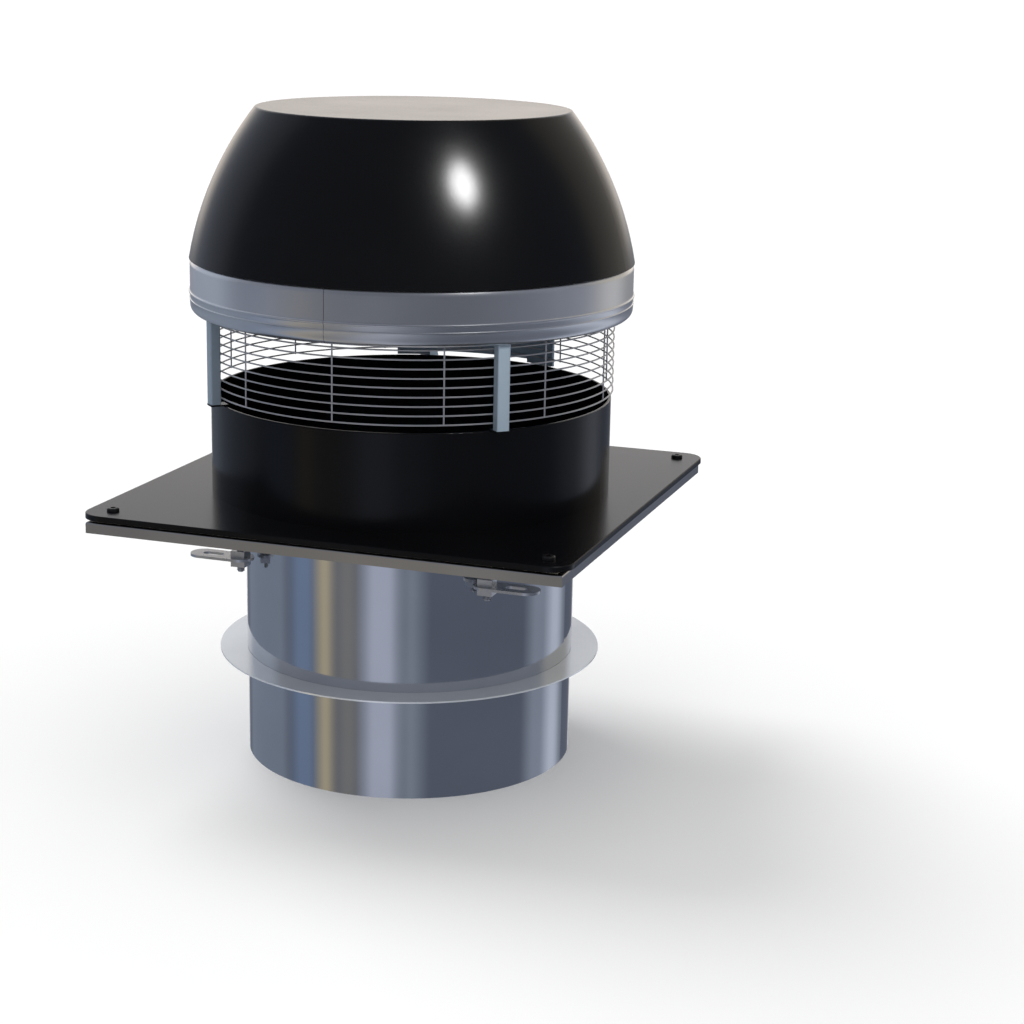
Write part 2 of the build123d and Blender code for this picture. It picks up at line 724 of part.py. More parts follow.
# Spacers, bolts and nuts that hold the motor off its hot plate
with BuildPart() as motor_spacers:
    with BuildSketch(Plane.XY.offset(plate_top)):
        with PolarLocations(motor_bolt_pitch_diameter / 2, 4, start_angle=motor_bolt_angle):
            Circle(spacer_diameter / 2)
        with PolarLocations(motor_bolt_pitch_diameter / 2, 4, start_angle=motor_bolt_angle):
            Circle(motor_bolt_diameter / 2 + slip_gap, mode=Mode.SUBTRACT)
    extrude(amount=spacer_height)
save(motor_spacers, "motor_spacers")

with BuildPart() as motor_bolts:
    with BuildSketch(Plane.XY.offset(plate_under)):
        with PolarLocations(motor_bolt_pitch_diameter / 2, 4, start_angle=motor_bolt_angle):
            Circle(motor_bolt_head_diameter / 2)
    extrude(amount=-motor_bolt_head_height)
    fillet(motor_bolts.faces().group_by(Axis.Z)[0].edges(), motor_bolt_head_height / 2)
    with BuildSketch(Plane.XY.offset(plate_under)):
        with PolarLocations(motor_bolt_pitch_diameter / 2, 4, start_angle=motor_bolt_angle):
            Circle(motor_bolt_diameter / 2)
    extrude(amount=plate_sheet + spacer_height + motor_flange_sheet + motor_nut_height)
save(motor_bolts, "motor_bolts")

with BuildPart() as motor_nuts:
    with BuildSketch(Plane.XY.offset(motor_bottom + motor_flange_sheet)):
        with PolarLocations(motor_bolt_pitch_diameter / 2, 4, start_angle=motor_bolt_angle):
            RegularPolygon(motor_nut_flats / 2, 6, major_radius=False)
        with PolarLocations(motor_bolt_pitch_diameter / 2, 4, start_angle=motor_bolt_angle):
            Circle(motor_bolt_diameter / 2 + slip_gap, mode=Mode.SUBTRACT)
    extrude(amount=motor_nut_height)
save(motor_nuts, "motor_nuts")

# Motor housing: finned can with a flange and a bearing boss in its floor
lower_bearing_low = motor_bottom + motor_flange_sheet / 2
boss_top = lower_bearing_low + bearing_width
cover_screw_place = motor_body_radius - motor_wall / 2

with BuildPart() as motor_housing:
    with BuildSketch(Plane.XY.offset(motor_bottom)):
        Circle(motor_flange_diameter / 2)
    extrude(amount=motor_flange_sheet)
    with BuildSketch(Plane.XY.offset(motor_bottom)):
        Circle(motor_body_radius)
        with PolarLocations(motor_body_radius, motor_fin_count):
            Rectangle(2 * motor_fin_height, motor_fin_width)
    extrude(amount=motor_length)
    with BuildSketch(Plane.XY.offset(motor_bottom + motor_flange_sheet)):
        Circle(motor_inner)
        Circle(boss_radius, mode=Mode.SUBTRACT)
    extrude(amount=motor_length, mode=Mode.SUBTRACT)
    with BuildSketch(Plane.XY.offset(boss_top)):
        Circle(boss_radius + motor_wall)
    extrude(amount=motor_length, mode=Mode.SUBTRACT)
    with BuildSketch(Plane.XY.offset(lower_bearing_low)):
        Circle(bearing_seat)
    extrude(amount=bearing_width, mode=Mode.SUBTRACT)
    with BuildSketch(Plane.XY.offset(motor_bottom)):
        Circle(shaft_radius + seat_gap)
        with PolarLocations(motor_bolt_pitch_diameter / 2, 4, start_angle=motor_bolt_angle):
            Circle(motor_bolt_diameter / 2 + slip_gap)
    extrude(amount=motor_flange_sheet, mode=Mode.SUBTRACT)
    with BuildSketch(Plane.XY.offset(motor_top)):
        with PolarLocations(cover_screw_place, 4, start_angle=motor_bolt_angle):
            Circle(cover_screw_diameter / 2 + slip_gap)
    extrude(amount=-cover_screw_bite, mode=Mode.SUBTRACT)
save(motor_housing, "motor_housing")

# End cover with the upper bearing seat
upper_bearing_low = motor_top - bearing_width

with BuildPart() as motor_end_cover:
    with BuildSketch(Plane.XY.offset(motor_top)):
        Circle(motor_body_radius)
    extrude(amount=motor_cover_thickness)
    chamfer(motor_end_cover.faces().sort_by(Axis.Z)[-1].edges(), motor_cover_thickness / 8)
    with BuildSketch(Plane.XY.offset(upper_bearing_low)):
        Circle(boss_radius)
        Circle(bearing_seat, mode=Mode.SUBTRACT)
    extrude(amount=bearing_width)
    with BuildSketch(Plane.XY.offset(motor_top)):
        Circle(shaft_radius + seat_gap)
    extrude(amount=shaft_top_gap + seat_gap, mode=Mode.SUBTRACT)
    with BuildSketch(Plane.XY.offset(motor_top)):
        with PolarLocations(cover_screw_place, 4, start_angle=motor_bolt_angle):
            Circle(cover_screw_diameter / 2 + slip_gap)
    extrude(amount=motor_cover_thickness, mode=Mode.SUBTRACT)
save(motor_end_cover, "motor_end_cover")

with BuildPart() as cover_screws:
    with BuildSketch(Plane.XY.offset(motor_top + motor_cover_thickness)):
        with PolarLocations(cover_screw_place, 4, start_angle=motor_bolt_angle):
            Circle(cover_screw_head_diameter / 2)
    extrude(amount=cover_screw_head_height)
    with BuildSketch(Plane.XY.offset(motor_top + motor_cover_thickness)):
        with PolarLocations(cover_screw_place, 4, start_angle=motor_bolt_angle):
            Circle(cover_screw_diameter / 2)
    extrude(amount=-motor_cover_thickness - cover_screw_bite)
save(cover_screws, "cover_screws")

# Bearings
for label, level in (("lower_bearing", lower_bearing_low), ("upper_bearing", upper_bearing_low)):
    with BuildPart() as bearing:
        with BuildSketch(Plane.XY.offset(level)):
            Circle(bearing_radius)
            Circle(shaft_radius + running_gap, mode=Mode.SUBTRACT)
        extrude(amount=bearing_width)
        for face_level in (level, level + bearing_width - bearing_recess):
            with BuildSketch(Plane.XY.offset(face_level)):
                Circle(bearing_radius - bearing_ring)
                Circle(shaft_radius + running_gap + bearing_ring, mode=Mode.SUBTRACT)
            extrude(amount=bearing_recess, mode=Mode.SUBTRACT)
    save(bearing, label)

# Stator with its winding slots
stator_low = (boss_top + upper_bearing_low - stator_height) / 2

with BuildPart() as stator_core:
    with BuildSketch(Plane.XY.offset(stator_low)):
        Circle(motor_inner - slip_gap)
        Circle(stator_bore / 2, mode=Mode.SUBTRACT)
        with PolarLocations(stator_bore / 2 + stator_slot_depth / 2, stator_slot_count):
            Rectangle(stator_slot_depth + stator_slot_width, stator_slot_width, mode=Mode.SUBTRACT)
    extrude(amount=stator_height)
save(stator_core, "stator_core")

# Seal ring where the shaft passes the motor plate
with BuildPart() as shaft_seal:
    with BuildSketch(Plane.XY.offset(plate_top - plate_sheet)):
        Circle(seal_ring_diameter / 2)
        Circle(shaft_radius + seat_gap, mode=Mode.SUBTRACT)
    extrude(amount=plate_sheet)
    with BuildSketch(Plane.XY.offset(plate_top)):
        Circle(seal_ring_diameter / 2 + seal_ring_width)
        Circle(shaft_radius + seat_gap, mode=Mode.SUBTRACT)
    extrude(amount=seal_ring_width)
save(shaft_seal, "shaft_seal")

# Terminal box, its lid and the cable gland
with BuildPart() as terminal_box:
    with BuildSketch(Plane.XY.offset(plate_top)):
        with Locations((0, terminal_offset)):
            RectangleRounded(terminal_length, terminal_width, terminal_corner_radius)
    extrude(amount=terminal_height)
    offset(amount=-terminal_wall, openings=terminal_box.faces().sort_by(Axis.Z)[-1])
    with Locations((terminal_length / 2, terminal_offset, plate_top + terminal_height / 2)):
        Cylinder(gland_bore / 2 + slip_gap, 4 * terminal_wall, rotation=(0, 90, 0), mode=Mode.SUBTRACT)
save(terminal_box, "terminal_box")

with BuildPart() as terminal_lid:
    with BuildSketch(Plane.XY.offset(plate_top + terminal_height)):
        with Locations((0, terminal_offset)):
            RectangleRounded(terminal_length, terminal_width, terminal_corner_radius)
    extrude(amount=terminal_lid_thickness)
    fillet(terminal_lid.faces().sort_by(Axis.Z)[-1].edges(), terminal_lid_thickness / 3)
save(terminal_lid, "terminal_lid")

gland_plane = Plane(origin=(terminal_length / 2, terminal_offset, plate_top + terminal_height / 2),
                    x_dir=(0, 1, 0), z_dir=(1, 0, 0))

with BuildPart() as cable_gland:
    with BuildSketch(gland_plane):
        RegularPolygon(gland_diameter / 2, 6)
    extrude(amount=gland_length)
    with BuildSketch(gland_plane.offset(-terminal_wall)):
        Circle(gland_bore / 2)
    extrude(amount=terminal_wall)
    with BuildSketch(gland_plane.offset(-terminal_wall)):
        Circle(gland_bore / 2 - gland_wall)
    extrude(amount=terminal_wall + gland_length, mode=Mode.SUBTRACT)
save(cable_gland, "cable_gland")

# Shaft and rotor core
shaft_top = motor_top + shaft_top_gap - seat_gap

with BuildPart() as motor_shaft:
    with BuildSketch(Plane.XY.offset(hub_low)):
        Circle(shaft_radius)
    extrude(amount=shaft_top - hub_low)
    with BuildSketch(Plane.XY.offset(hub_low)):
        Circle(hub_bolt_diameter / 2 + slip_gap)
    extrude(amount=hub_bolt_length, mode=Mode.SUBTRACT)
save(motor_shaft, "motor_shaft")

with BuildPart() as motor_rotor:
    with BuildSketch(Plane.XY.offset(stator_low)):
        Circle(stator_bore / 2 - rotor_air_gap)
        Circle(shaft_radius + slip_gap / 2, mode=Mode.SUBTRACT)
    extrude(amount=stator_height)
save(motor_rotor, "motor_rotor")

# Impeller: one casting of back plate, hub and swept blades
blade_outer_radius = impeller_diameter / 2 - blade_thickness

with BuildPart() as impeller:
    with BuildSketch(Plane.XY.offset(impeller_plate_under)):
        Circle(impeller_diameter / 2)
    extrude(amount=impeller_plate_thickness)
    with BuildSketch(Plane.XY.offset(hub_low)):
        Circle(hub_diameter / 2)
    extrude(amount=hub_height)
    with BuildLine() as blade_line:
        SagittaArc(around(blade_inner_radius, 0), around(blade_outer_radius, -blade_sweep_angle), blade_bow)
    with BuildSketch(Plane.XY.offset(blade_low)):
        with PolarLocations(0, blade_count):
            SlotArc(blade_line.edges()[0], blade_thickness)
    extrude(amount=blade_height)
    with BuildSketch(Plane.XY.offset(hub_low)):
        Circle(shaft_radius + slip_gap / 2)
    extrude(amount=hub_height, mode=Mode.SUBTRACT)
save(impeller, "impeller")

with BuildPart() as impeller_washer:
    with BuildSketch(Plane.XY.offset(hub_low)):
        Circle(washer_diameter / 2)
        Circle(hub_bolt_diameter / 2 + slip_gap, mode=Mode.SUBTRACT)
    extrude(amount=-washer_thickness)
save(impeller_washer, "impeller_washer")

with BuildPart() as impeller_bolt:
    with BuildSketch(Plane.XY.offset(hub_low - washer_thickness)):
        RegularPolygon(hub_bolt_flats / 2, 6, major_radius=False)
    extrude(amount=-hub_bolt_head_height)
    with BuildSketch(Plane.XY.offset(hub_low - washer_thickness)):
        Circle(hub_bolt_diameter / 2)
    extrude(amount=hub_bolt_length)
save(impeller_bolt, "impeller_bolt")
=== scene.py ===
# %% [markdown]
# # A chimney fan, finished in Blender
#
# The fan's construction comes ready made: every plate, strut, screw and bearing is already at
# its real size and place. This lesson gives it its looks. We set up a camera and a small studio,
# mix the paints and metals, and model again the few pieces whose beauty lies in fine, smooth
# detail: the bright wires, the rolled band and the threaded studs.

# %% Load the construction
from math import atan2, cos, degrees, pi, radians, sin

import bmesh
import bpy
from mathutils import Matrix, Vector


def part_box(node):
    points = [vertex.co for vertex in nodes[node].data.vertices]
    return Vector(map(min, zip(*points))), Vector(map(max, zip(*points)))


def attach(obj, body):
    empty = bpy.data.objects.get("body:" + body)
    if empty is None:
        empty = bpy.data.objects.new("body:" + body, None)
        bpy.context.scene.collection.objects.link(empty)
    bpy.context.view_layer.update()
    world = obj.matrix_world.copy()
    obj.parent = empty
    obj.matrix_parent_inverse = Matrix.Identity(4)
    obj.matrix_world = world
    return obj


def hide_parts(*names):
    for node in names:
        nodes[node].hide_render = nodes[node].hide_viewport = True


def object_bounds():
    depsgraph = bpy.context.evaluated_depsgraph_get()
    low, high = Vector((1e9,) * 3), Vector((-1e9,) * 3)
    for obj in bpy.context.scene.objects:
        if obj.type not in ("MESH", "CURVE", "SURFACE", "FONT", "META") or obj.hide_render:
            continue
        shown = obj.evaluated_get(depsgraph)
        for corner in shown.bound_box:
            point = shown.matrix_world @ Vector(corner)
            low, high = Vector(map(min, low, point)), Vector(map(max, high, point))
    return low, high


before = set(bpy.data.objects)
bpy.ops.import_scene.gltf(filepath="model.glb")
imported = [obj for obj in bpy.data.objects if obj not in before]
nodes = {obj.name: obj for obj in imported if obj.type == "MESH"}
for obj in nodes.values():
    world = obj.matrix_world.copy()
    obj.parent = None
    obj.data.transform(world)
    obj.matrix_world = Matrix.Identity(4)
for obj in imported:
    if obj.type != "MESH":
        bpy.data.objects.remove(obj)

cad_box = [list(corner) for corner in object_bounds()]
MM = 0.001
print("pieces:", len(nodes), "overall height in mm:", round(cad_box[1][2] / MM, 1))

# %% [markdown]
# ## The camera
#
# A product picture is taken from a few metres with a long lens, so that the round forms stay
# calm. The camera could be pointed with a Track To constraint, but a plain direction is easier
# to read later: where it stands, how far it turns to the side, how far it looks down, and the
# small roll that a hand-held tripod head always leaves.

# %% Camera
CAMERA_PLACE = Vector((613.9, -1554.9, 616.1)) * MM
CAMERA_TURN = radians(18.90)
CAMERA_DOWN = radians(14.45)
CAMERA_ROLL = radians(1.09)
CAMERA_LENS = 79.4

camera_data = bpy.data.cameras.new("camera")
camera_data.lens = CAMERA_LENS
camera = bpy.data.objects.new("camera", camera_data)
bpy.context.scene.collection.objects.link(camera)
camera.matrix_world = (
    Matrix.Translation(CAMERA_PLACE)
    @ Matrix.Rotation(CAMERA_TURN, 4, "Z")
    @ Matrix.Rotation(pi / 2 - CAMERA_DOWN, 4, "X")
    @ Matrix.Rotation(CAMERA_ROLL, 4, "Z"))
bpy.context.scene.camera = camera
print("camera looks down by", round(degrees(CAMERA_DOWN), 1), "degrees")

# %% [markdown]
# ## Small helpers for node trees
#
# Every finish is a node tree. Writing each node out in full takes four lines, so three small
# helpers do it: one adds a node, one joins two sockets or sets a value, and one starts a new
# material with its Principled shader ready.

# %% Node helpers
def add_node(tree, kind, **settings):
    """Adds a node; names of settings are the node's own properties."""
    node = tree.nodes.new(kind)
    for name, value in settings.items():
        setattr(node, name, value)
    return node


def feed(tree, target, source):
    """Gives an input socket a link, or a plain value."""
    if isinstance(source, bpy.types.NodeSocket):
        tree.links.new(source, target)
    else:
        target.default_value = source


def calculate(tree, operation, *values):
    """A Math node with its values, and its result."""
    node = add_node(tree, "ShaderNodeMath", operation=operation)
    for socket, value in zip(node.inputs, values):
        feed(tree, socket, value)
    return node.outputs[0]


def spread(tree, value, low, high, start=0.0, end=1.0):
    """A Map Range node: the value's span from start to end becomes low to high."""
    node = add_node(tree, "ShaderNodeMapRange")
    settings = {"Value": value, "From Min": start, "From Max": end, "To Min": low, "To Max": high}
    for name, given in settings.items():
        feed(tree, node.inputs[name], given)
    return node.outputs[0]


def blend_colours(tree, factor, first, second):
    """A Mix node for two colours."""
    node = add_node(tree, "ShaderNodeMix", data_type="RGBA")
    feed(tree, node.inputs["Factor"], factor)
    feed(tree, node.inputs["A"], first)
    feed(tree, node.inputs["B"], second)
    return node.outputs["Result"]


print("node helpers ready")

# %% [markdown]
# ## Shared effects
#
# Several finishes need the same three effects: rings left by spinning or turning, a fine grain
# that breaks up a gloss, and slow clouds that keep a large face from looking like plastic film.
# They could be copied into each material, but a node group is built once and takes its own
# values wherever it stands. All of them read Object coordinates, in metres, so a pattern keeps
# its true size on every piece.

# %% Node groups
def new_group(name, inputs, outputs):
    """A shader node group with plain-named sockets, and its two end nodes."""
    group = bpy.data.node_groups.new(name, "ShaderNodeTree")
    for label, kind, value in inputs:
        socket = group.interface.new_socket(label, in_out="INPUT", socket_type=kind)
        if value is not None:
            socket.default_value = value
    for label, kind in outputs:
        group.interface.new_socket(label, in_out="OUTPUT", socket_type=kind)
    return group, add_node(group, "NodeGroupInput"), add_node(group, "NodeGroupOutput")


FLOAT, VECTOR = "NodeSocketFloat", "NodeSocketVector"


def make_turning_rings():
    """Fine rings about the fan's axis, on flat, conical and upright faces alike."""
    group, given, result = new_group(
        "turning_rings",
        [("Vector", VECTOR, None), ("Rings per metre", FLOAT, 900.0), ("Breaks", FLOAT, 6.0)],
        [("Height", FLOAT)])
    parts = add_node(group, "ShaderNodeSeparateXYZ")
    feed(group, parts.inputs[0], given.outputs["Vector"])
    squares = [calculate(group, "MULTIPLY", parts.outputs[axis], parts.outputs[axis]) for axis in ("X", "Y")]
    radius = calculate(group, "SQRT", calculate(group, "ADD", *squares))
    place = add_node(group, "ShaderNodeCombineXYZ")
    density = given.outputs["Rings per metre"]
    feed(group, place.inputs["X"], calculate(group, "MULTIPLY", radius, density))
    feed(group, place.inputs["Y"], calculate(group, "MULTIPLY", parts.outputs["Z"], density))
    feed(group, place.inputs["Z"], calculate(group, "MULTIPLY", parts.outputs["X"], given.outputs["Breaks"]))
    noise = add_node(group, "ShaderNodeTexNoise")
    feed(group, noise.inputs["Vector"], place.outputs[0])
    feed(group, noise.inputs["Scale"], 1.0)
    feed(group, noise.inputs["Detail"], 2.0)
    feed(group, result.inputs["Height"], noise.outputs["Fac"])
    return group


def make_stretched_grain():
    """Noise drawn out along one direction, as rolling or brushing leaves it."""
    group, given, result = new_group(
        "stretched_grain",
        [("Vector", VECTOR, None), ("Across", VECTOR, (2500.0, 2500.0, 20.0)), ("Detail", FLOAT, 3.0)],
        [("Height", FLOAT)])
    scaled = add_node(group, "ShaderNodeVectorMath", operation="MULTIPLY")
    feed(group, scaled.inputs[0], given.outputs["Vector"])
    feed(group, scaled.inputs[1], given.outputs["Across"])
    noise = add_node(group, "ShaderNodeTexNoise")
    feed(group, noise.inputs["Vector"], scaled.outputs[0])
    feed(group, noise.inputs["Scale"], 1.0)
    feed(group, noise.inputs["Detail"], given.outputs["Detail"])
    feed(group, result.inputs["Height"], noise.outputs["Fac"])
    return group


def make_soft_clouds():
    """Slow clouds and a fine speckle, for the small unevenness of a real surface."""
    group, given, result = new_group(
        "soft_clouds",
        [("Vector", VECTOR, None), ("Cloud size", FLOAT, 12.0), ("Speckle size", FLOAT, 1500.0)],
        [("Clouds", FLOAT), ("Speckle", FLOAT)])
    for label, size, detail in (("Clouds", "Cloud size", 4.0), ("Speckle", "Speckle size", 2.0)):
        noise = add_node(group, "ShaderNodeTexNoise")
        feed(group, noise.inputs["Vector"], given.outputs["Vector"])
        feed(group, noise.inputs["Scale"], given.outputs[size])
        feed(group, noise.inputs["Detail"], detail)
        feed(group, result.inputs[label], noise.outputs["Fac"])
    return group


turning_rings = make_turning_rings()
stretched_grain = make_stretched_grain()
soft_clouds = make_soft_clouds()
print("groups:", [group.name for group in bpy.data.node_groups])

# %% [markdown]
# ## A recipe for finishes
#
# Most of the finishes here are one idea with other numbers: a colour that drifts a little with
# the clouds, a roughness that drifts too, and a bump from the grain of its making. So one
# function writes that recipe, and each finish is a call with its own values. What is the same
# all over a surface, such as Metallic, is set on the shader itself.

# %% The recipe
def use_group(tree, group, vector, **values):
    """Places a node group, gives it coordinates and values, and returns its outputs."""
    node = add_node(tree, "ShaderNodeGroup", node_tree=group)
    feed(tree, node.inputs["Vector"], vector)
    for name, value in values.items():
        feed(tree, node.inputs[name.replace("_", " ")], value)
    return node.outputs


def new_material(name):
    """An empty material with its Principled shader and Object coordinates."""
    material = bpy.data.materials.get(name) or bpy.data.materials.new(name)
    material.use_nodes = True
    tree = material.node_tree
    tree.nodes.clear()
    shader = add_node(tree, "ShaderNodeBsdfPrincipled")
    output = add_node(tree, "ShaderNodeOutputMaterial")
    tree.links.new(shader.outputs[0], output.inputs["Surface"])
    place = add_node(tree, "ShaderNodeTexCoord").outputs["Object"]
    return material, tree, shader, place


def bump(tree, shader, height, depth_mm):
    """A bump whose depth is a real depth."""
    node = add_node(tree, "ShaderNodeBump")
    feed(tree, node.inputs["Height"], height)
    node.inputs["Distance"].default_value = depth_mm * MM
    node.inputs["Strength"].default_value = 1.0
    tree.links.new(node.outputs[0], shader.inputs["Normal"])


def finish(name, colours, roughness, metallic, grain, cloud_size=12.0, speckle_size=1500.0):
    """One finish: two colours mixed by clouds, a span of roughness, and a grain that is bumped.

    grain is a function of the tree, the coordinates and the clouds; it gives a height and a
    depth in mm.
    """
    material, tree, shader, place = new_material(name)
    clouds = use_group(tree, soft_clouds, place, Cloud_size=cloud_size, Speckle_size=speckle_size)
    height, depth = grain(tree, place, clouds)
    drift = spread(tree, clouds["Clouds"], 0.0, 1.0, 0.35, 0.65)
    feed(tree, shader.inputs["Base Color"], blend_colours(tree, drift, (*colours[0], 1), (*colours[1], 1)))
    mottle = calculate(tree, "ADD", clouds["Clouds"], calculate(tree, "MULTIPLY", height, 0.5))
    feed(tree, shader.inputs["Roughness"], spread(tree, mottle, *roughness, 0.5, 1.0))
    shader.inputs["Metallic"].default_value = metallic
    bump(tree, shader, height, depth)
    return shader


def orange_peel(tree, place, clouds):
    return clouds["Speckle"], 0.004


def rolled_upright(tree, place, clouds):
    return use_group(tree, stretched_grain, place, Across=(1600.0, 1600.0, 12.0))["Height"], 0.0015


def rolled_around(tree, place, clouds):
    return use_group(tree, stretched_grain, place, Across=(14.0, 14.0, 2200.0))["Height"], 0.001


def rolled_along(tree, place, clouds):
    return use_group(tree, stretched_grain, place, Across=(12.0, 1800.0, 1800.0))["Height"], 0.003


def turned(tree, place, clouds):
    return use_group(tree, turning_rings, place, Rings_per_metre=1400.0, Breaks=3.0)["Height"], 0.003


def blasted(tree, place, clouds):
    return clouds["Speckle"], 0.06


print("recipe ready")

# %% [markdown]
# ## The finishes
#
# The hood and housing carry a satin-gloss black powder coat with a very shallow orange peel.
# The band is rolled satin aluminium, the struts are blue-grey zinc plated steel, the grille is
# drawn wire, and the flue parts are stainless: satin where the sheet is folded, near a mirror
# where it is rolled round. Inside wait the cast motor, its laminated core and the small
# hardware.

# %% Paint and metals
paint = finish("black_paint", [(0.0022, 0.0023, 0.0029), (0.0032, 0.0033, 0.0040)], (0.19, 0.23), 0.0,
               orange_peel, cloud_size=9.0, speckle_size=700.0)
paint.inputs["Specular IOR Level"].default_value = 0.22
band = finish("satin_band", [(0.80, 0.81, 0.82), (0.88, 0.88, 0.88)], (0.28, 0.34), 1.0, rolled_around)
finish("strut_steel", [(0.44, 0.53, 0.60), (0.50, 0.59, 0.66)], (0.56, 0.64), 0.85, rolled_upright)
finish("bright_wire", [(0.54, 0.54, 0.56), (0.62, 0.62, 0.63)], (0.34, 0.46), 0.85, rolled_around)
finish("sheet_stainless", [(0.60, 0.58, 0.55), (0.66, 0.64, 0.61)], (0.08, 0.15), 1.0, rolled_along)
finish("polished_stainless", [(0.58, 0.60, 0.63), (0.63, 0.65, 0.68)], (0.06, 0.12), 1.0, rolled_upright)
finish("zinc_hardware", [(0.60, 0.61, 0.63), (0.70, 0.70, 0.70)], (0.24, 0.42), 1.0, blasted, cloud_size=60.0)
finish("cast_aluminium", [(0.44, 0.45, 0.46), (0.52, 0.53, 0.54)], (0.42, 0.58), 1.0, blasted)
finish("bearing_steel", [(0.58, 0.58, 0.60), (0.64, 0.64, 0.66)], (0.10, 0.18), 1.0, turned)
finish("dark_plastic", [(0.022, 0.022, 0.024), (0.030, 0.030, 0.032)], (0.45, 0.60), 0.0, blasted)
print("finishes:", sorted(m.name for m in bpy.data.materials))

# %% [markdown]
# The band's colour is dimmed where we look straight at it and left pale at a slant: a painted
# sheen that stands in for the brighter reflections along the band's sides. A Layer Weight node
# knows that slant, so it dims the band's colour in its middle and leaves its sides pale.

# %% Painted sheen on the band
def paint_sheen_at_slant(shader, darkest, slant_end):
    """Dims a shader's colour where the surface faces the viewer: a painted sheen, pale at a slant."""
    tree = shader.id_data
    slant = add_node(tree, "ShaderNodeLayerWeight").outputs["Facing"]
    colour = shader.inputs["Base Color"].links[0].from_socket
    dark = add_node(tree, "ShaderNodeMix", data_type="RGBA", blend_type="MULTIPLY")
    feed(tree, dark.inputs["Factor"], spread(tree, slant, 1.0, 0.0, 0.0, slant_end))
    feed(tree, dark.inputs["A"], colour)
    feed(tree, dark.inputs["B"], (*darkest, 1))
    feed(tree, shader.inputs["Base Color"], dark.outputs["Result"])


# Painted sheen: the band's colour is darkened where it faces the viewer, and its sides are left pale.
paint_sheen_at_slant(band, (0.60, 0.60, 0.60), 0.24)
print("band dimmed straight on")

# %% [markdown]
# Three finishes need a pattern of their own. Galvanised sheet shows spangles, the flat crystals
# of its zinc, and a Voronoi texture with one value to a cell draws exactly that. A motor's core
# is a stack of thin sheets under varnish, so its lines run level with a fixed pitch. The seal is
# pressed fibre: matt, soft and full of short threads.

# %% Galvanised sheet, laminations and fibre
def make_galvanised():
    material, tree, shader, place = new_material("pressed_steel")
    cells = add_node(tree, "ShaderNodeTexVoronoi")
    feed(tree, cells.inputs["Vector"], place)
    feed(tree, cells.inputs["Scale"], 140.0)
    value = add_node(tree, "ShaderNodeSeparateXYZ")
    feed(tree, value.inputs[0], cells.outputs["Color"])
    cell = value.outputs["X"]
    feed(tree, shader.inputs["Base Color"],
         blend_colours(tree, cell, (0.40, 0.42, 0.44, 1), (0.56, 0.58, 0.60, 1)))
    feed(tree, shader.inputs["Roughness"], spread(tree, cell, 0.30, 0.50))
    shader.inputs["Metallic"].default_value = 0.9
    bump(tree, shader, cells.outputs["Distance"], 0.01)


def make_laminations():
    material, tree, shader, place = new_material("core_steel")
    level = add_node(tree, "ShaderNodeSeparateXYZ")
    feed(tree, level.inputs[0], place)
    sheets_per_metre = 2000.0
    counted = calculate(tree, "MULTIPLY", level.outputs["Z"], sheets_per_metre)
    stack = calculate(tree, "PINGPONG", counted, 0.5)
    edge = spread(tree, stack, 0.0, 1.0, 0.0, 0.2)
    gap_colour, sheet_colour = (0.02, 0.018, 0.016, 1), (0.24, 0.23, 0.23, 1)
    feed(tree, shader.inputs["Base Color"], blend_colours(tree, edge, gap_colour, sheet_colour))
    feed(tree, shader.inputs["Roughness"], spread(tree, edge, 0.55, 0.35))
    shader.inputs["Metallic"].default_value = 0.7
    bump(tree, shader, edge, 0.03)


def make_fibre():
    material, tree, shader, place = new_material("seal_fibre")
    threads = use_group(tree, stretched_grain, place, Across=(300.0, 900.0, 900.0), Detail=6.0)["Height"]
    thread_mask = spread(tree, threads, 0.0, 1.0, 0.3, 0.7)
    dark_fibre, pale_fibre = (0.30, 0.285, 0.25, 1), (0.50, 0.48, 0.43, 1)
    feed(tree, shader.inputs["Base Color"], blend_colours(tree, thread_mask, dark_fibre, pale_fibre))
    feed(tree, shader.inputs["Roughness"], spread(tree, threads, 0.98, 0.88))
    bump(tree, shader, threads, 0.15)


make_galvanised()
make_laminations()
make_fibre()
print("patterned finishes made")

# %% [markdown]
# Two parts wear another finish than their neighbours of the same metal. The collar was left as
# the mill delivered it, paler and less bright than the polished spigot, and the corner bolts
# are blackened so that they don't shine on the black plate.

# %% Collar and corner bolts
finish("collar_steel", [(0.74, 0.77, 0.81), (0.81, 0.84, 0.87)], (0.14, 0.24), 0.52, turned)
finish("blackened_steel", [(0.010, 0.010, 0.011), (0.020, 0.020, 0.021)], (0.28, 0.40), 0.4, blasted,
       cloud_size=60.0)
nodes["collar_disc"].material_slots[0].material = bpy.data.materials["collar_steel"]
nodes["base_bolts"].material_slots[0].material = bpy.data.materials["blackened_steel"]
print("collar and bolts finished")

# %% [markdown]
# ## Pieces modelled again
#
# The construction gives wires as six-sided bars and screws as plain pins, which is right for
# weighing and testing, but a lens sees the flats. So these pieces are built again as meshes, at
# the size and place that the construction gives them. One function finishes each new piece: it
# turns the normals outwards, shades the round parts smoothly, keeps the real edges sharp, and
# lets the piece ride on the body that carries it.

# %% A finished piece
def new_piece(name, build, slot, body, *replaced, sharp=40.0):
    """Makes a piece from a bmesh and gives it its finish, its body and the nodes it stands for."""
    bmesh.ops.recalc_face_normals(build, faces=build.faces)
    mesh = bpy.data.meshes.new(name)
    build.to_mesh(mesh)
    build.free()
    mesh.shade_smooth()
    mesh.set_sharp_from_angle(angle=radians(sharp))
    mesh.materials.append(bpy.data.materials[slot])
    piece = bpy.data.objects.new(name, mesh)
    bpy.context.scene.collection.objects.link(piece)
    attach(piece, body)
    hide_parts(*replaced)
    print(name, "has", len(mesh.polygons), "faces")
    return piece


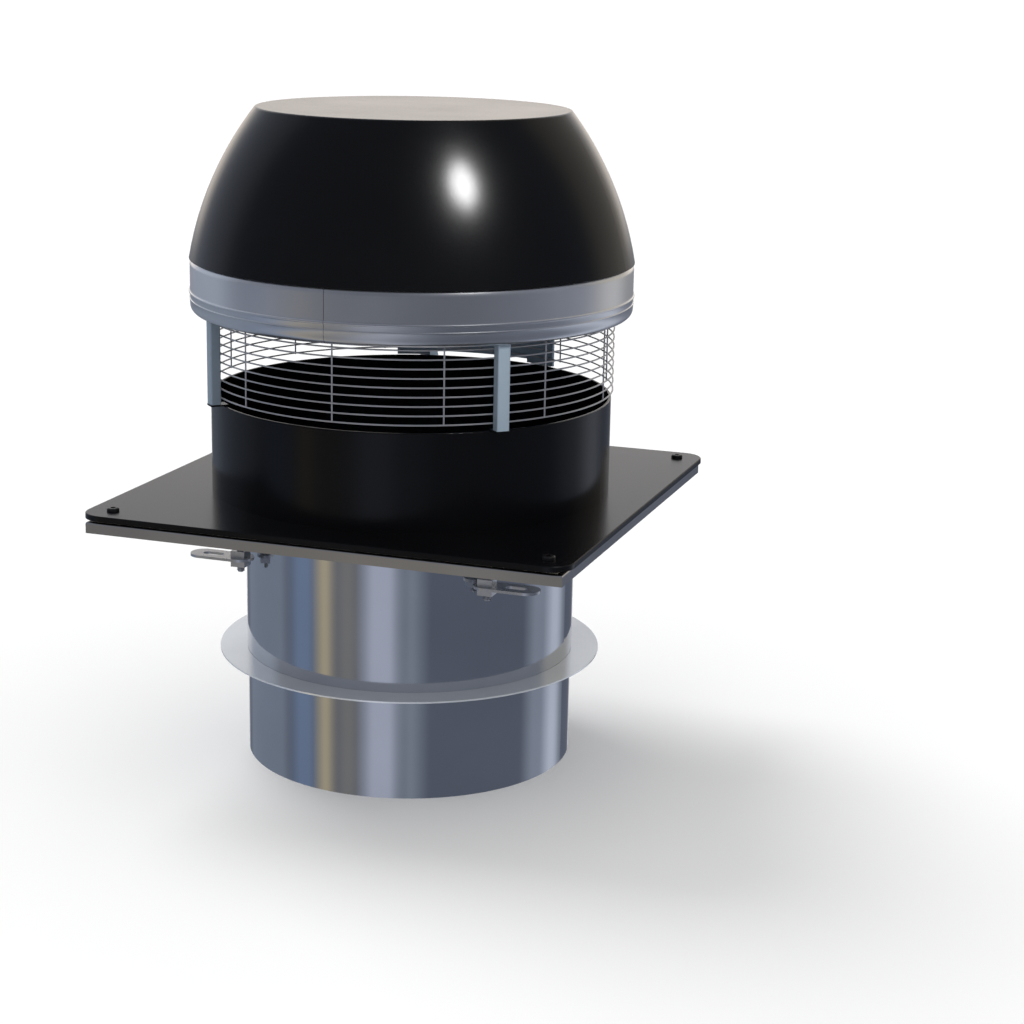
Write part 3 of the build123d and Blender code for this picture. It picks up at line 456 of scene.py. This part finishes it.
def spin_round(build, geometry, steps):
    """Spins edges a full turn about the fan's axis and joins the end to the start."""
    bmesh.ops.spin(build, geom=geometry, cent=(0, 0, 0), axis=(0, 0, 1), angle=2 * pi, steps=steps,
                   use_merge=True, use_duplicate=False)


print("ready to build pieces")

# %% [markdown]
# ## The wire grille
#
# The grille is eleven hoops of bright wire with twelve uprights behind them, resistance welded
# wherever they cross. A curve with a round bevel would draw the wires too, but spinning a small
# circle about the axis shows how a hoop is really made: bent round and closed on itself. Each
# crossing gets a small flattened nugget, where the two wires melted into one another.

# %% Hoops, uprights and welds
WIRE = 1.2 * MM
WELD_DEPTH = 0.3 * MM
WELD_NUGGET = 0.75 * MM
WELD_FLATTENING = Matrix.Diagonal((0.6, 1, 1, 1))
HOOP_COUNT = 11
UPRIGHT_COUNT = 12
WIRE_SIDES = 10
HOOP_STEPS = 144

grille_low, grille_high = (Vector(corner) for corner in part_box("wire_grille"))
hoop_radius = grille_high.x - WIRE / 2
upright_radius = hoop_radius - WIRE + WELD_DEPTH
weld_radius = (hoop_radius + upright_radius) / 2
low_hoop = grille_low.z + WIRE / 2
hoop_pitch = (grille_high.z - grille_low.z - WIRE) / (HOOP_COUNT - 1)

build = bmesh.new()
for number in range(HOOP_COUNT):
    upright = Matrix.Rotation(pi / 2, 4, "X")
    stand = Matrix.Translation((hoop_radius, 0, low_hoop + number * hoop_pitch)) @ upright
    section = bmesh.ops.create_circle(build, segments=WIRE_SIDES, radius=WIRE / 2, matrix=stand)["verts"]
    edges = {edge for corner in section for edge in corner.link_edges}
    spin_round(build, section + list(edges), HOOP_STEPS)

middle = (grille_low.z + grille_high.z) / 2
for number in range(UPRIGHT_COUNT):
    turned_to = Matrix.Rotation(2 * pi * number / UPRIGHT_COUNT, 4, "Z")
    bmesh.ops.create_cone(build, cap_ends=True, segments=WIRE_SIDES, radius1=WIRE / 2, radius2=WIRE / 2,
                          depth=grille_high.z - grille_low.z,
                          matrix=turned_to @ Matrix.Translation((upright_radius, 0, middle)))
    for hoop in range(HOOP_COUNT):
        crossing = Matrix.Translation((weld_radius, 0, low_hoop + hoop * hoop_pitch))
        bmesh.ops.create_icosphere(build, subdivisions=1, radius=WELD_NUGGET,
                                   matrix=turned_to @ crossing @ WELD_FLATTENING)
new_piece("grille_of_round_wire", build, "bright_wire", "hood", "wire_grille")

# %% [markdown]
# ## The rolled band
#
# The band is a strip of satin aluminium run through a rolling mill. Its upper edge slopes in
# towards the hood, a narrow bead and a fine step stiffen it, and its lower edge rolls inwards
# to a flat lip. All of that is one outline, so we write the outline once and spin it. The
# strip's two ends meet in a seam on the front, so the spin stops a hair short of a full turn.
# Where the front struts pass, the lip is notched: there we delete faces and close the cut again.

# %% Outline of the band
BEAD_HEIGHT = 1.0 * MM
BEAD_RISE = 1.1 * MM
BEAD_LEVEL = 15.2 * MM
STEP_HEIGHT = 0.6 * MM
STEP_LEVEL = 10.2 * MM
BAND_SHEET = 1.5 * MM
EDGE_SLOPE = 3.6 * MM
EDGE_INSET = 1.3 * MM
LIP_DEPTH = 9.2 * MM
LIP_ROLL = 5.2 * MM
ARC_STEPS = 9


def arc(centre, radii, start, end):
    """Points on an ellipse, each a radius and a height; angles are in degrees."""
    turns = [radians(start + (end - start) * step / ARC_STEPS) for step in range(ARC_STEPS + 1)]
    return [(centre[0] + radii[0] * cos(turn), centre[1] + radii[1] * sin(turn)) for turn in turns]


band_low, band_high = (Vector(corner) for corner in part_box("ring_band"))
outer = band_high.x - BEAD_HEIGHT
inner = outer - BAND_SHEET
bead_level = band_low.z + BEAD_LEVEL
step_level = band_low.z + STEP_LEVEL
roll_centre = (outer - LIP_ROLL, band_low.z + LIP_ROLL)

outline = [(inner, band_high.z - EDGE_SLOPE), (inner, band_high.z)]
outline += [(outer - inset * EDGE_INSET, band_high.z - drop * EDGE_SLOPE)
            for inset, drop in ((1.0, 0.05), (0.15, 0.85), (0.0, 1.1))]
outline += [(outer, bead_level + 2 * BEAD_RISE)]
outline += arc((outer, bead_level), (BEAD_HEIGHT, BEAD_RISE), 75, -75)
outline += [(outer, bead_level - 2 * BEAD_RISE), (outer, step_level + STEP_HEIGHT)]
outline += arc((outer, step_level), (STEP_HEIGHT, STEP_HEIGHT), 60, -60)
outline += arc(roll_centre, (LIP_ROLL, LIP_ROLL), 0, -90)
outline += [(outer - LIP_DEPTH, band_low.z), (outer - LIP_DEPTH, band_low.z + BAND_SHEET)]
outline += arc(roll_centre, (LIP_ROLL - BAND_SHEET,) * 2, -90, 0)
print("outline of the band has", len(outline), "points")

# %% Spin the band and notch its lip
SEAM_HALF = radians(0.06)
STRUT_TURNS = (-135.0, -45.0)
NOTCH_HALF = 2.0
NOTCH_END_SPAN = 0.2
NOTCH_RADIUS = 159.8 * MM
BAND_STEPS = 360


def turn_of(place):
    """The turn of a point about the fan's axis, in degrees."""
    return degrees(atan2(place.y, place.x))


build = bmesh.new()
section = build.faces.new([build.verts.new((radius, 0, level)) for radius, level in outline])
bmesh.ops.rotate(build, verts=build.verts, cent=(0, 0, 0), matrix=Matrix.Rotation(SEAM_HALF - pi / 2, 3, "Z"))
bmesh.ops.spin(build, geom=[section], cent=(0, 0, 0), axis=(0, 0, 1), angle=2 * (pi - SEAM_HALF),
               steps=BAND_STEPS, use_merge=False, use_duplicate=False)
for strut_turn in STRUT_TURNS:
    cut = [face for face in build.faces if face.calc_center_median().xy.length < NOTCH_RADIUS
           and abs(turn_of(face.calc_center_median()) - strut_turn) < NOTCH_HALF]
    bmesh.ops.delete(build, geom=cut, context="FACES")
    for side in (-1, 1):
        wall = [edge for edge in build.edges if edge.is_boundary
                and all((turn_of(corner.co) - strut_turn) * side > NOTCH_HALF - NOTCH_END_SPAN
                        for corner in edge.verts)]
        bmesh.ops.contextual_create(build, geom=wall)
    bmesh.ops.holes_fill(build, edges=[edge for edge in build.edges if edge.is_boundary], sides=0)
print("open edges left in the band:", len([edge for edge in build.edges if not edge.is_manifold]))
new_piece("rolled_band", build, "satin_band", "hood", "ring_band", sharp=50.0)

# %% [markdown]
# ## Threads
#
# A thread is a tooth wound round a rod, so it can be made just that way: a spin that also climbs
# by one pitch a turn. A screw modifier would do the same for one rod, but the spin makes all
# four in one mesh. The clamp studs show their threads below the nuts.

# %% Clamp studs with their threads
STUD = 6.0 * MM
STUD_CORE = 4.8 * MM
STUD_HEAD = 11.0 * MM
HEAD_HEIGHT = 1.5 * MM
HEAD_SIDES = 32
PITCH = 1.0 * MM
POINT_SHARE = 0.8
THREAD_STEPS = 20
WELD_DISTANCE = 0.02 * MM

stud_low, stud_high = (Vector(corner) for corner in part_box("clamp_studs"))
stud_place = stud_high.x - STUD_HEAD / 2
head_under = stud_high.z - HEAD_HEIGHT
turns = int((head_under - stud_low.z) / PITCH) - 1

core_radius = STUD_CORE / 2
tooth_outline = ((core_radius, 0.3 * PITCH), (STUD / 2, 0.8 * PITCH), (core_radius, 1.3 * PITCH))

build = bmesh.new()
for x, y in ((1, 1), (1, -1), (-1, -1), (-1, 1)):
    centre = Vector((x * stud_place, y * stud_place, 0))
    head_middle = centre + Vector((0, 0, head_under + HEAD_HEIGHT / 2))
    point_middle = centre + Vector((0, 0, stud_low.z + PITCH / 2))
    bmesh.ops.create_cone(build, cap_ends=True, segments=HEAD_SIDES,
                          radius1=STUD_HEAD / 2 - HEAD_HEIGHT / 3, radius2=STUD_HEAD / 2,
                          depth=HEAD_HEIGHT, matrix=Matrix.Translation(head_middle))
    bmesh.ops.create_cone(build, cap_ends=True, segments=THREAD_STEPS,
                          radius1=POINT_SHARE * core_radius, radius2=core_radius,
                          depth=PITCH, matrix=Matrix.Translation(point_middle))
    tooth = [build.verts.new(centre + Vector((radius, 0, stud_low.z + level)))
             for radius, level in tooth_outline]
    ridge = [build.edges.new(pair) for pair in zip(tooth, tooth[1:])]
    bmesh.ops.spin(build, geom=tooth + ridge, cent=centre, axis=(0, 0, 1), dvec=(0, 0, PITCH / THREAD_STEPS),
                   angle=2 * pi * turns, steps=THREAD_STEPS * turns, use_duplicate=False)
bmesh.ops.remove_doubles(build, verts=build.verts, dist=WELD_DISTANCE)
new_piece("threaded_clamp_studs", build, "zinc_hardware", "base", "clamp_studs", sharp=25.0)

# %% [markdown]
# ## The studio
#
# The floor is plain and pale, and the light is soft: a white surround, a wide sun from behind on
# the left for the shadow, and one lamp high on the right. Polished metal and black gloss don't
# show their own colour so much as what stands around them, so the glossy surround is a quiet
# arrangement of pale and dark upright panels. It could be built from real boards, but the world
# shader holds it without a single extra object.
#
# The lamp that makes the gleam on the hood is far too strong for bare metal, which would show a
# burnt-out white dot on every edge. A photographer would hang a black flag between the two; in
# Blender, light linking does the same, and a weak twin of the lamp gives the metal its glints.

# %% Surround and lamps
def direction_parts(tree):
    """The turn about Z from the camera's side, in degrees, and the rise of a world direction."""
    parts = add_node(tree, "ShaderNodeSeparateXYZ")
    feed(tree, parts.inputs[0], add_node(tree, "ShaderNodeTexCoord").outputs["Generated"])
    towards = CAMERA_PLACE.xy.normalized()
    ahead = calculate(tree, "ADD", calculate(tree, "MULTIPLY", parts.outputs["X"], towards.x),
                      calculate(tree, "MULTIPLY", parts.outputs["Y"], towards.y))
    aside = calculate(tree, "SUBTRACT", calculate(tree, "MULTIPLY", parts.outputs["Y"], towards.x),
                      calculate(tree, "MULTIPLY", parts.outputs["X"], towards.y))
    turn = calculate(tree, "MULTIPLY", calculate(tree, "ARCTAN2", aside, ahead), 180 / pi)
    return turn, parts.outputs["Z"]


def panel(tree, turn, start, end, edge=6.0):
    """A mask that is 1 between two turns, with soft edges."""
    rise = spread(tree, turn, 0.0, 1.0, start - edge, start + edge)
    fall = spread(tree, turn, 1.0, 0.0, end - edge, end + edge)
    return calculate(tree, "MULTIPLY", rise, fall)


# Panels of the surround: from and to in degrees, 0 towards the camera and minus on its left
LOW_SHADE = (0.12, 0.135, 0.175, 1)
LOW_PANELS = [
    (-156, -96, (0.22, 0.255, 0.32)),
    (-90, -70, (0.19, 0.25, 0.37)),
    (-66, -57, (0.62, 0.52, 0.34)),
    (-52, -36, (0.23, 0.225, 0.22)),
    (-32, -8, (0.48, 0.51, 0.61)),
    (-6, 8, (0.25, 0.28, 0.34)),
    (92, 136, (0.28, 0.31, 0.38)),
    (114, 132, (0.58, 0.62, 0.72)),
]
HIGH_SHADE = (0.185, 0.20, 0.245, 1)
HIGH_PANELS = [
    (-170, -108, (0.42, 0.46, 0.55)),
    (108, 170, (0.50, 0.47, 0.42)),
]
# What stands behind the object: just above the horizon, high up, and below the horizon
BACK_LOW = (1.45, 1.32, 1.20, 1)
BACK_HIGH = (0.78, 0.78, 0.80, 1)
BACK_DOWN = (0.80, 0.80, 0.82, 1)
BACK_START_LOW = 168
BACK_START_HIGH = 150
# Rises at which one part of the surround gives way to the next, as the sine of the height
HORIZON = (-0.12, -0.02)
BACK_DOWN_TO_LOW = (-0.10, 0.0)
BACK_LOW_TO_HIGH = (0.08, 0.22)
BACK_TOP = (0.45, 0.70)


def lay_panels(tree, turn, shade, panels):
    """A dark ground with the panels laid over it, one after the other."""
    colour = shade
    for start, end, tint in panels:
        colour = blend_colours(tree, panel(tree, turn, start, end), colour, (*tint, 1))
    return colour


def backdrop(tree, turn, rise, start):
    """A mask for what stands behind the object, beyond a turn to either side."""
    both = calculate(tree, "ADD", panel(tree, turn, start, 400), panel(tree, turn, -400, -start))
    return calculate(tree, "MULTIPLY", both, spread(tree, rise, 1.0, 0.0, *BACK_TOP))


SOFT_WHITE = (0.80, 0.80, 0.80, 1)
BACKGROUND_WHITE = (1.05, 1.05, 1.05, 1)

world = bpy.data.worlds.new("studio")
bpy.context.scene.world = world
world.use_nodes = True
tree = world.node_tree
tree.nodes.clear()
turn, rise = direction_parts(tree)
back_colour = blend_colours(tree, spread(tree, rise, 0.0, 1.0, *BACK_LOW_TO_HIGH), BACK_LOW, BACK_HIGH)
back_colour = blend_colours(tree, spread(tree, rise, 0.0, 1.0, *BACK_DOWN_TO_LOW), BACK_DOWN, back_colour)
low_panels = lay_panels(tree, turn, LOW_SHADE, LOW_PANELS)
low = blend_colours(tree, backdrop(tree, turn, rise, BACK_START_LOW), low_panels, back_colour)
high_panels = lay_panels(tree, turn, HIGH_SHADE, HIGH_PANELS)
high = blend_colours(tree, backdrop(tree, turn, rise, BACK_START_HIGH), high_panels, back_colour)
mirrored = blend_colours(tree, spread(tree, rise, 0.0, 1.0, *HORIZON), low, high)
rays = add_node(tree, "ShaderNodeLightPath")
plain = blend_colours(tree, rays.outputs["Is Camera Ray"], SOFT_WHITE, BACKGROUND_WHITE)
surround = add_node(tree, "ShaderNodeBackground")
feed(tree, surround.inputs["Color"], blend_colours(tree, rays.outputs["Is Glossy Ray"], plain, mirrored))
feed(tree, surround.inputs["Strength"], 1.0)
tree.links.new(surround.outputs[0], add_node(tree, "ShaderNodeOutputWorld").inputs["Surface"])
bpy.context.scene.view_settings.view_transform = "Standard"


def add_lamp(name, kind, turn, height, distance, energy, **settings):
    """A soft lamp at a turn from the camera's side, aimed at the hood; it gives the lamp's object."""
    aim = Vector((0, 0, cad_box[1][2] * 0.85))
    side = CAMERA_PLACE.xy.normalized()
    side.rotate(Matrix.Rotation(radians(turn), 2))
    lamp_data = bpy.data.lights.new(name, kind)
    lamp_data.energy = energy
    for key, value in settings.items():
        setattr(lamp_data, key, value)
    lamp = bpy.data.objects.new(name, lamp_data)
    bpy.context.scene.collection.objects.link(lamp)
    place = Vector((side.x * distance, side.y * distance, height))
    lamp.matrix_world = Matrix.Translation(place) @ (place - aim).to_track_quat("Z", "Y").to_matrix().to_4x4()
    return lamp


# Turn in degrees, height and distance in metres
GLEAM_STAND = (33.1, 1.91, 1.58)
GLEAM_SHAPE = {"shape": "ELLIPSE", "size": 0.45, "size_y": 0.54}
SKY_STAND = (-140.0, 2.2, 1.5)
PAINTED_AND_STRUTS = (
    "hood_dome", "housing_tube", "base_plate", "strut_lugs", "hinge_bracket", "strut_left", "strut_right")

gleam = add_lamp("gleam_lamp", "AREA", *GLEAM_STAND, energy=56.0, **GLEAM_SHAPE)
gleam.visible_diffuse = False
lit_by_gleam = bpy.data.collections.new("lit_by_gleam")
for name in PAINTED_AND_STRUTS:
    lit_by_gleam.objects.link(nodes[name])
gleam.light_linking.receiver_collection = lit_by_gleam
glint = add_lamp("glint_lamp", "AREA", *GLEAM_STAND, energy=2.5, **GLEAM_SHAPE)
glint.visible_diffuse = False
skylight = add_lamp("sky_lamp", "SUN", *SKY_STAND, energy=1.35, angle=radians(32))
skylight.visible_glossy = False

# %% [markdown]
# The floor is one large plane. A real glossy floor would show up in the polished spigot as a
# white glare, so glossy rays pass through it, as if it were cut away under the polished parts.

# %% Floor
FLOOR_HALF = 30.0
FLOOR_WHITE = (0.94, 0.94, 0.94, 1)

floor_mesh = bpy.data.meshes.new("floor")
build = bmesh.new()
bmesh.ops.create_grid(build, x_segments=1, y_segments=1, size=FLOOR_HALF)
build.to_mesh(floor_mesh)
build.free()
floor = bpy.data.objects.new("floor", floor_mesh)
bpy.context.scene.collection.objects.link(floor)

floor_paint = bpy.data.materials.new("floor_paint")
floor_paint.use_nodes = True
tree = floor_paint.node_tree
tree.nodes.clear()
matt = add_node(tree, "ShaderNodeBsdfDiffuse")
feed(tree, matt.inputs["Color"], FLOOR_WHITE)
gone = add_node(tree, "ShaderNodeBsdfTransparent")
mixed = add_node(tree, "ShaderNodeMixShader")
feed(tree, mixed.inputs[0], add_node(tree, "ShaderNodeLightPath").outputs["Is Glossy Ray"])
tree.links.new(matt.outputs[0], mixed.inputs[1])
tree.links.new(gone.outputs[0], mixed.inputs[2])
tree.links.new(mixed.outputs[0], add_node(tree, "ShaderNodeOutputMaterial").inputs["Surface"])
floor_mesh.materials.append(floor_paint)
print("floor laid")
